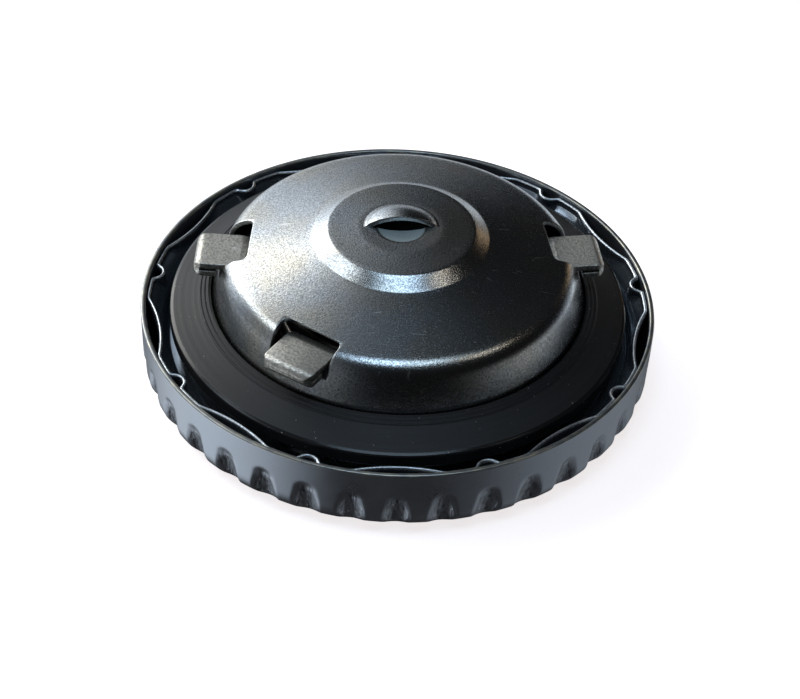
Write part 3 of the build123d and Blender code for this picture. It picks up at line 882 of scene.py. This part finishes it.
class CAP_OT_gasket(bpy.types.Operator):
    """Make the coned rubber ring with its fine ridges"""

    bl_idname = "cap.gasket"
    bl_label = "Gasket"

    def execute(self, context):
        sizes = context.scene.cap_gasket
        cup = context.scene.cap_cup
        colours = context.scene.cap_colours
        fall = math.tan(sizes.slope)
        rise = sizes.thickness / math.cos(sizes.slope)
        lean = (cup.foot_radius - cup.shoulder_radius) / (cup.shoulder_height - cup.foot_height)
        outer = GASKET_HIGH.x
        foot = LIP + cup.foot_height
        gap = GASKET_GAP
        low_inner = (cup.foot_radius + 2 * gap, foot - fall * 2 * gap)
        low_outer = (outer, foot - fall * (outer - cup.foot_radius))
        high_outer = (outer, low_outer[1] + rise)
        high_inner = (cup.foot_radius + gap - lean * rise, foot + rise - fall * (gap - lean * rise))
        corners = [low_inner, low_outer, high_outer, high_inner, low_inner, low_outer]
        path = spaced(rounded_path(corners, [sizes.edge] * 4, 5)[1:-1], GASKET_STEP)
        outline = []
        for point in path:
            inward = point.x - high_inner[0]
            face = high_inner[1] - fall * inward
            number = inward / sizes.ridge_pitch
            on_ridge = 0.5 < number < sizes.ridges + 0.5 and abs(point.y - face) < RIDGE_BAND
            wave = 0.5 + 0.5 * math.cos(FULL_TURN * number)
            lift = sizes.ridge_height * wave ** 2 if on_ridge else 0
            outline.append((point.x, point.y + lift, 0, 0))
        piece = new_piece("gasket_ring", turned_mesh("gasket_ring", outline[:-1], GASKET_COLUMNS))
        piece.data.materials.append(matt_rubber(colours))
        finish_piece(piece, SEAL_BODY, "gasket")
        return {"FINISHED"}


class CupGrid:
    """The cup's outer face as a grid of rings, warped so that its lines follow the windows."""

    # From this radius on and over this run, the lines turn to follow a window within this angle of it
    WARP_START = 17 * MM
    WARP_RUN = 6 * MM
    WARP_ANGLE = math.radians(24)
    # Between these radii, the rings bulge out to a window's straight inner edge, and a little past its sides
    BULGE_START = 20 * MM
    BULGE_END = 27 * MM
    BULGE_PAST = 1.02
    # How close two rings may lie, and how far from a window's sides a point counts as its edge
    RING_GAP = 0.06 * MM
    EDGE_BAND = 0.4 * MM

    def __init__(self, sizes, windows):
        self.sizes = sizes
        self.windows = windows
        self.top = CUP_HIGH.z - sizes.louvre_rise
        slope = math.tan(bpy.context.scene.cap_gasket.slope)
        brim = CUP_HIGH.x
        corners = [
            (0, self.top),
            (sizes.boss_flat, self.top),
            (sizes.boss_radius, self.top - sizes.boss_crown),
            (sizes.boss_foot, self.top - sizes.boss_height),
            (sizes.shoulder_radius, LIP + sizes.shoulder_height),
            (sizes.foot_radius, LIP + sizes.foot_height),
            (brim, LIP + sizes.foot_height - slope * (brim - sizes.foot_radius)),
        ]
        self.path = rounded_path(corners, CUP_ROUNDS, 9)
        self.floor_ring = self.radius_at(sizes.window_floor)
        rings = [point.x for point in spaced(self.path, CUP_STEP)]
        rings += [sizes.louvre_radius * i / LOUVRE_RINGS for i in range(1, LOUVRE_RINGS)]
        self.rings = [sizes.window_chord, self.floor_ring, sizes.louvre_radius, sizes.dish_radius]
        for ring in sorted(rings):
            if all(abs(ring - other) > self.RING_GAP for other in self.rings):
                self.rings.append(ring)
        self.rings = sorted(ring for ring in self.rings if ring > self.RING_GAP)

    def half_columns(self, half_width):
        """Half the number of columns that a window takes."""
        return round(math.asin(half_width / self.sizes.shoulder_radius) / CUP_PITCH)

    def height(self, radius):
        """Height of the outer face at a radius."""
        for start, end in zip(self.path, self.path[1:]):
            if start.x <= radius <= end.x and end.x > start.x:
                return start.y + (end.y - start.y) * (radius - start.x) / (end.x - start.x)
        return self.path[-1].y

    def radius_at(self, level):
        """Radius of the wall at a height."""
        for start, end in zip(self.path, self.path[1:]):
            if end.y <= level <= start.y and start.x > self.sizes.boss_foot:
                return start.x + (end.x - start.x) * (start.y - level) / (start.y - end.y)
        raise RuntimeError("the window's floor is not on the cup's wall")

    def column_of(self, turn):
        """The column nearest to an angle."""
        return round((turn - self.sizes.louvre_turn) / CUP_PITCH)

    def inside_window(self, ring, column):
        """True if the grid square after this ring and column lies in a window."""
        if not self.sizes.window_chord <= ring < self.floor_ring:
            return False
        for turn, half_width in self.windows:
            step = (column - self.column_of(turn) + CUP_COLUMNS // 2) % CUP_COLUMNS - CUP_COLUMNS // 2
            if -self.half_columns(half_width) <= step < self.half_columns(half_width):
                return True
        return False

    def point(self, ring, column):
        """Place of a grid point, moved so that window edges are straight and parallel."""
        nominal = self.sizes.louvre_turn + column * CUP_PITCH
        blend = min(max((ring - self.WARP_START) / self.WARP_RUN, 0), 1)
        fade = self.WARP_ANGLE
        chord = self.sizes.window_chord
        for turn, half_width in self.windows:
            reach = self.half_columns(half_width) * CUP_PITCH
            centre = self.sizes.louvre_turn + self.column_of(turn) * CUP_PITCH
            offset = (nominal - centre + math.pi) % FULL_TURN - math.pi
            if abs(offset) > fade:
                continue
            side = math.asin(half_width / max(ring, chord))
            if abs(offset) <= reach:
                warped = offset * side / reach
                share = 1
            else:
                share = (fade - abs(offset)) / (fade - reach)
                warped = math.copysign(fade - (fade - side) * share, offset)
            shifted = warped + (turn - centre) * share
            angle_now = nominal + (shifted - offset) * blend
            if ring <= chord:
                pull = max((ring - self.BULGE_START) / (chord - self.BULGE_START), 0)
            else:
                pull = max((self.BULGE_END - ring) / (self.BULGE_END - chord), 0)
            edge = chord / math.cos(min(abs(warped), side * self.BULGE_PAST))
            ring += (edge - chord) * pull * share
            return self.at(ring, angle_now)
        return self.at(ring, nominal)

    def at(self, radius, turn):
        """The point of the outer face at a radius and angle."""
        return Vector((radius * math.cos(turn), radius * math.sin(turn), self.height(radius)))

    def round_corner(self, point):
        """A point of a window's edge, moved onto the round of the window's inner corners."""
        corner_radius = self.sizes.window_corner
        for turn, half_width in self.windows:
            local = Matrix.Rotation(-turn, 3, "Z") @ point
            side = math.copysign(1, local.y)
            centre = Vector((self.sizes.window_chord + corner_radius, side * (half_width - corner_radius)))
            arm = Vector((local.x, local.y)) - centre
            beyond = local.x > 0 and arm.x < MERGE and arm.y * side > -MERGE
            if beyond and abs(local.y) < half_width + self.EDGE_BAND:
                place = centre + arm.normalized() * corner_radius
                turned = Matrix.Rotation(turn, 3, "Z") @ Vector((place.x, place.y, 0))
                return self.at(math.hypot(turned.x, turned.y), math.atan2(turned.y, turned.x))
        return point

    def by_inner_edge(self, point):
        """True for a point that is past a window's inner edge and well short of its floor."""
        return self.sizes.window_chord * 0.99 < point.xy.length < self.floor_ring * 0.9


def louvre_lift(sizes, radius, raised):
    """Height of the louvre's raised or sunk half over the boss at a radius."""
    reach = sizes.louvre_radius if raised else sizes.dish_radius
    rise = sizes.louvre_rise if raised else -sizes.dish_sink
    if radius >= reach:
        return 0
    sphere = (reach ** 2 + rise ** 2) / (2 * abs(rise))
    cap = math.sqrt(sphere ** 2 - radius ** 2) - (sphere - abs(rise))
    foot = min((reach - radius) / LOUVRE_FOOT, 1)
    return math.copysign(cap, rise) * foot * foot * (3 - 2 * foot)


def cup_mesh(sizes, windows):
    """Open mesh of the cup's outer face with the louvre's slit and the windows cut out."""
    grid = CupGrid(sizes, windows)
    work = bmesh.new()
    half = CUP_COLUMNS // 2
    poles = [work.verts.new((0, 0, grid.top + louvre_lift(sizes, 0, raised))) for raised in (True, False)]
    rows = []
    for ring in grid.rings:
        on_slit = ring < sizes.louvre_radius - TINY
        halves = {}
        for raised in (True, False):
            verts = []
            for column in range(half + 1):
                number = column if raised else column + half
                place = grid.point(ring, number)
                end = column in (0, half)
                if end and not on_slit and not raised:
                    verts.append(halves[True][half - column])
                    continue
                place.z += 0 if end and not on_slit else louvre_lift(sizes, ring, raised)
                verts.append(work.verts.new(place))
            halves[raised] = verts
        rows.append(halves)
    for raised, pole in zip((True, False), poles):
        first = rows[0][raised]
        for column in range(half):
            work.faces.new((pole, first[column], first[column + 1]))
        for i, ring in enumerate(grid.rings[:-1]):
            near = rows[i][raised]
            far = rows[i + 1][raised]
            for column in range(half):
                number = column if raised else column + half
                if not grid.inside_window(ring, number):
                    work.faces.new((near[column], far[column], far[column + 1], near[column + 1]))
    loose = [vert for vert in work.verts if not vert.link_faces]
    bmesh.ops.delete(work, geom=loose, context="VERTS")
    for vert in work.verts:
        if vert.is_boundary and grid.by_inner_edge(vert.co):
            vert.co = grid.round_corner(vert.co)
    return write_smooth(work, bpy.data.meshes.new("cup_shell"))


class CAP_OT_cup(bpy.types.Operator):
    """Make the plated cup with its louvre and windows"""

    bl_idname = "cap.cup"
    bl_label = "Cup"

    def execute(self, context):
        sizes = context.scene.cap_cup
        colours = context.scene.cap_colours
        widths = (sizes.window_width, sizes.near_window, sizes.window_width)
        windows = [(math.radians(turn), width / 2) for turn, width in zip(WINDOW_TURNS, widths)]
        piece = new_piece("cup_shell", cup_mesh(sizes, windows))
        boss_top = CUP_HIGH.z - sizes.louvre_rise
        piece.data.materials.append(zinc_cup(colours, sizes.dish_radius, boss_top))
        piece.data.materials.append(cut_zinc(colours))
        wall = piece.modifiers.new("wall", "SOLIDIFY")
        wall.thickness = sizes.sheet
        wall.offset = -1
        wall.use_even_offset = True
        wall.material_offset_rim = 1
        soften(piece, CUP_SOFT_EDGE, 2)
        finish_piece(piece, SEAL_BODY, "cup")
        return {"FINISHED"}


def lug_section(sizes, reach):
    """Upper and lower faces of one arm from a cut inside the cup up to its folded tip."""
    top = LIP + sizes.level
    fold = sizes.fold / 2 - FOLD_GAP
    corners = [
        (sizes.arm_radius, ARM_CUT),
        (sizes.arm_radius, top - sizes.root_drop),
        (sizes.arm_radius + sizes.root_run, top),
        (reach, top),
        (reach, top - sizes.fold),
        (reach - sizes.fold_return, top - sizes.fold),
    ]
    path = spaced(rounded_path(corners, [sizes.arm_bend, sizes.root_bend, fold, fold], 10), LUG_STEP)
    return path, moved_right(path, sizes.sheet)


def add_lug(work, sizes, turn, width, reach):
    """Adds one arm and lug, with the corners of its tip rounded as seen from above."""
    upper, lower = lug_section(sizes, reach)
    corner_start = reach - sizes.corner
    place = Matrix.Rotation(math.radians(turn), 3, "Z")

    def side_point(point, side):
        past = min(max(point.x - corner_start, 0), sizes.corner)
        half = width / 2 - sizes.corner + math.sqrt(sizes.corner ** 2 - past ** 2)
        return work.verts.new(place @ Vector((point.x, side * half, point.y)))

    left, right = ([[side_point(p, side) for p in face] for face in (upper, lower)] for side in (1, -1))
    strips = (left, right, (left[0], right[0]), (left[1], right[1]))
    count = len(upper)
    for i in range(count - 1):
        for first, second in strips:
            work.faces.new((first[i], first[i + 1], second[i + 1], second[i]))
    for end in (0, count - 1):
        work.faces.new((left[0][end], right[0][end], right[1][end], left[1][end]))


class CAP_OT_lugs(bpy.types.Operator):
    """Make the three folded lugs on the lower part of the lug plate"""

    bl_idname = "cap.lugs"
    bl_label = "Lugs"

    def execute(self, context):
        sizes = context.scene.cap_lugs
        work = bmesh.new()
        work.from_mesh(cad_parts["lug_plate"].data)
        bmesh.ops.remove_doubles(work, verts=work.verts, dist=MERGE)
        everything = [*work.verts, *work.edges, *work.faces]
        cut = bmesh.ops.bisect_plane(work, geom=everything, plane_co=(0, 0, ARM_CUT), plane_no=(0, 0, 1),
                                     clear_outer=True)
        rim = [part for part in cut["geom_cut"] if isinstance(part, bmesh.types.BMEdge)]
        bmesh.ops.holes_fill(work, edges=rim)
        widths = (sizes.width, sizes.near_width, sizes.width)
        reaches = (sizes.reach, sizes.near_reach, sizes.reach)
        for turn, width, reach in zip(LUG_TURNS, widths, reaches):
            add_lug(work, sizes, turn, width, reach)
        bmesh.ops.recalc_face_normals(work, faces=work.faces)
        mesh = write_smooth(work, bpy.data.meshes.new("lug_plate_folded"))
        mesh.materials.append(zinc_lugs(context.scene.cap_colours))
        piece = new_piece("lug_plate_folded", mesh)
        soften(piece, LUG_SOFT_EDGE, 3)
        sharpen(piece)
        finish_piece(piece, COVER_BODY, "lug_plate")
        return {"FINISHED"}


class CAP_OT_spring(bpy.types.Operator):
    """Make the main spring from the frame's coil, at one length; the real spring shortens as the cup is
    pressed down
    """

    bl_idname = "cap.spring"
    bl_label = "Spring"

    def execute(self, context):
        mesh = tidy_mesh(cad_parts["main_spring"].data.copy(), MERGE)
        mesh.materials.clear()
        mesh.materials.append(spring_wire(context.scene.cap_colours))
        piece = new_piece("spring_coil", mesh)
        sharpen(piece)
        finish_piece(piece, COVER_BODY, "main_spring")
        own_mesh(piece)
        return {"FINISHED"}


class CAP_OT_inner_parts(bpy.types.Operator):
    """Give the pieces inside the cap their finishes"""

    bl_idname = "cap.inner_parts"
    bl_label = "Inner Parts"

    def execute(self, context):
        colours = context.scene.cap_colours
        plate = plated("plated_steel", colours.zinc, colours.zinc_warm).material
        finishes = {
            "plate_seal": seal_fibre(colours),
            "plate_rivets": plate,
            "spring_seat": plate,
            "pad_retainer": plate,
            "breather_pad": filter_felt(colours),
        }
        for node, material in finishes.items():
            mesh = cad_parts[node].data
            mesh.materials.clear()
            mesh.materials.append(material)
        return {"FINISHED"}


# Stage

def add_softbox(name, azimuth, elevation, size, power, tint):
    """A soft light of a width and height that faces the cap. Azimuth 0 is in front, 90 on the right."""
    light = bpy.data.lights.new(name, "AREA")
    light.shape = "RECTANGLE"
    light.size, light.size_y = size
    light.energy = power
    light.color = tint
    lamp = bpy.data.objects.new(name, light)
    turn = math.radians(azimuth)
    rise = math.radians(elevation)
    out = Vector((math.sin(turn) * math.cos(rise), -math.cos(turn) * math.cos(rise), math.sin(rise)))
    lamp.location = out * LIGHT_DISTANCE + Vector((0, 0, LIP))
    lamp.rotation_euler = out.to_track_quat("Z", "Y").to_euler()
    bpy.context.scene.collection.objects.link(lamp)


def add_camera(settings):
    """The camera at the photo's angle, with the lip's centre where the photo has it."""
    camera = bpy.data.objects.new("camera", bpy.data.cameras.new("camera"))
    camera.data.lens = settings.lens
    camera.data.sensor_width = SENSOR_WIDTH
    camera.data.clip_start = 0.01
    camera.data.clip_end = 20
    out = Vector((0, -math.cos(settings.elevation), math.sin(settings.elevation)))
    right = Vector((1, 0, 0))
    up = right.cross(-out)
    pixels = settings.lens / SENSOR_WIDTH * PHOTO_WIDTH
    aim = Vector((
        (settings.centre_x - PHOTO_WIDTH / 2) / pixels,
        (PHOTO_HEIGHT / 2 - settings.centre_y) / pixels,
        1,
    ))
    swing = Vector((0, 0, 1)).rotation_difference(aim).to_matrix()
    rows = swing @ Matrix.Rotation(settings.roll, 3, "Z") @ Matrix((right, up, -out))
    turned = Matrix((rows[0], rows[1], -rows[2])).transposed().to_4x4()
    camera.matrix_world = Matrix.Translation(out * settings.distance + Vector((0, 0, LIP))) @ turned
    bpy.context.scene.collection.objects.link(camera)
    bpy.context.scene.camera = camera


def add_floor(settings):
    """The pale floor. It doesn't show in the gloss, where the studio's walls do."""
    mesh = bpy.data.meshes.new("floor")
    corners = [(x * FLOOR_REACH, y * FLOOR_REACH, 0) for x, y in ((-1, -1), (1, -1), (1, 1), (-1, 1))]
    mesh.from_pydata(corners, [], [(0, 1, 2, 3)])
    floor = new_piece("floor", mesh)
    finish = Finish("floor_paper", roughness=0.9, specular_ior_level=0.0)
    paper = finish.noise(50 * MM, 2)
    finish.set("Base Color", finish.vary(paper, settings.floor_colour, 1.0, 0.985))
    finish.set("Emission Color", settings.floor_colour)
    finish.set("Emission Strength", settings.floor_glow)
    mesh.materials.append(finish.material)
    floor.visible_glossy = False


def add_studio(settings):
    """The walls of the studio, seen only in the finishes: bright on the left and behind, dark in front."""
    world = bpy.data.worlds.new("studio")
    world.use_nodes = True
    bpy.context.scene.world = world
    tree = world.node_tree
    back = tree.nodes["Background"]
    way = put(tree, "ShaderNodeTexCoord").outputs["Generated"]
    apart = put(tree, "ShaderNodeSeparateXYZ", {0: way}).outputs

    def part(axis, start, end):
        """How far a direction has gone from one value to another along an axis, 0 to 1."""
        values = {0: apart[axis], 1: start, 2: end, 3: 0.0, 4: 1.0}
        return put(tree, "ShaderNodeMapRange", values, interpolation_type="SMOOTHSTEP").outputs[0]

    foot = math_of(tree, "MULTIPLY_ADD", part("Z", -0.30, -0.55), settings.left_wall, 0.35)
    left = product_of(tree, part("X", -0.30, -0.85), foot)
    aside = product_of(tree, part("X", 0.15, 0.7), part("Y", -0.85, 0.0))
    right = product_of(tree, aside, part("Z", 0.05, -0.35), settings.right_wall)
    high = product_of(tree, part("Z", -0.30, 0.0), part("Y", 0.2, 0.7))
    behind = product_of(tree, part("X", 0.05, -0.45), high, settings.rear_wall)
    low = product_of(tree, part("Z", 0.06, -0.06), part("Z", -0.50, -0.30))
    band = product_of(tree, low, part("Y", 0.45, 0.75), settings.rear_band)
    total = math_of(tree, "ADD", math_of(tree, "ADD", left, right), math_of(tree, "MAXIMUM", behind, band))
    tree.links.new(math_of(tree, "ADD", total, settings.dark), back.inputs["Strength"])
    back.inputs["Color"].default_value = (0.84, 0.92, 1.0, 1)
    sight = put(tree, "ShaderNodeLightPath").outputs["Is Camera Ray"]
    pale = put(tree, "ShaderNodeBackground", {"Color": (0.97, 0.93, 0.93, 1), "Strength": 1.0}).outputs[0]
    both = put(tree, "ShaderNodeMixShader", {0: sight, 1: back.outputs[0], 2: pale}).outputs[0]
    tree.links.new(both, tree.nodes["World Output"].inputs["Surface"])


class CAP_OT_stage(bpy.types.Operator):
    """Set up the floor, lights and camera"""

    bl_idname = "cap.stage"
    bl_label = "Stage"

    def execute(self, context):
        settings = context.scene.cap_stage
        add_camera(settings)
        add_floor(settings)
        add_studio(settings)
        add_softbox("key_light", 226, 28, (0.42, 0.45), settings.key, (1.0, 0.97, 0.88))
        add_softbox("side_light", 265, 46, (0.40, 0.34), settings.side, (0.80, 0.91, 1.0))
        add_softbox("small_light", 79, 59, (0.13, 0.13), settings.spot, (1.0, 0.95, 0.86))
        add_softbox("top_light", 0, 80, (0.42, 0.36), settings.top, (0.60, 0.80, 1.0))
        add_softbox("warm_card", 140, 10, (0.25, 0.15), settings.card, (1.0, 0.72, 0.45))
        context.scene.view_settings.view_transform = "Standard"
        return {"FINISHED"}


OPERATORS = (
    CAP_OT_stage,
    CAP_OT_cover,
    CAP_OT_liner,
    CAP_OT_gasket,
    CAP_OT_cup,
    CAP_OT_lugs,
    CAP_OT_spring,
    CAP_OT_inner_parts,
)


class CAP_PT_panel(bpy.types.Panel):
    """Lists the sizes, colours and makers of the cap"""

    bl_idname = "CAP_PT_panel"
    bl_label = "Filler Cap"
    bl_space_type = "VIEW_3D"
    bl_region_type = "UI"
    bl_category = "Filler Cap"

    def draw(self, context):
        for operator in OPERATORS:
            self.layout.operator(operator.bl_idname)
        for name, group in GROUPS.items():
            box = self.layout.box()
            box.label(text=group.__doc__)
            for key in group.__annotations__:
                box.prop(getattr(context.scene, name), key)


def register():
    """Registers the property groups, operators and panel."""
    for group in GROUPS.values():
        bpy.utils.register_class(group)
    for name, group in GROUPS.items():
        setattr(bpy.types.Scene, name, bpy.props.PointerProperty(type=group))
    for part in (*OPERATORS, CAP_PT_panel):
        bpy.utils.register_class(part)


def unregister():
    """Takes the classes away again."""
    for part in (CAP_PT_panel, *reversed(OPERATORS)):
        bpy.utils.unregister_class(part)
    for name, group in reversed(GROUPS.items()):
        delattr(bpy.types.Scene, name)
        bpy.utils.unregister_class(group)


def main():
    """Makes every piece in order."""
    register()
    for operator in OPERATORS:
        group, name = operator.bl_idname.split(".")
        getattr(getattr(bpy.ops, group), name)()


if __name__ == "__main__":
    main()
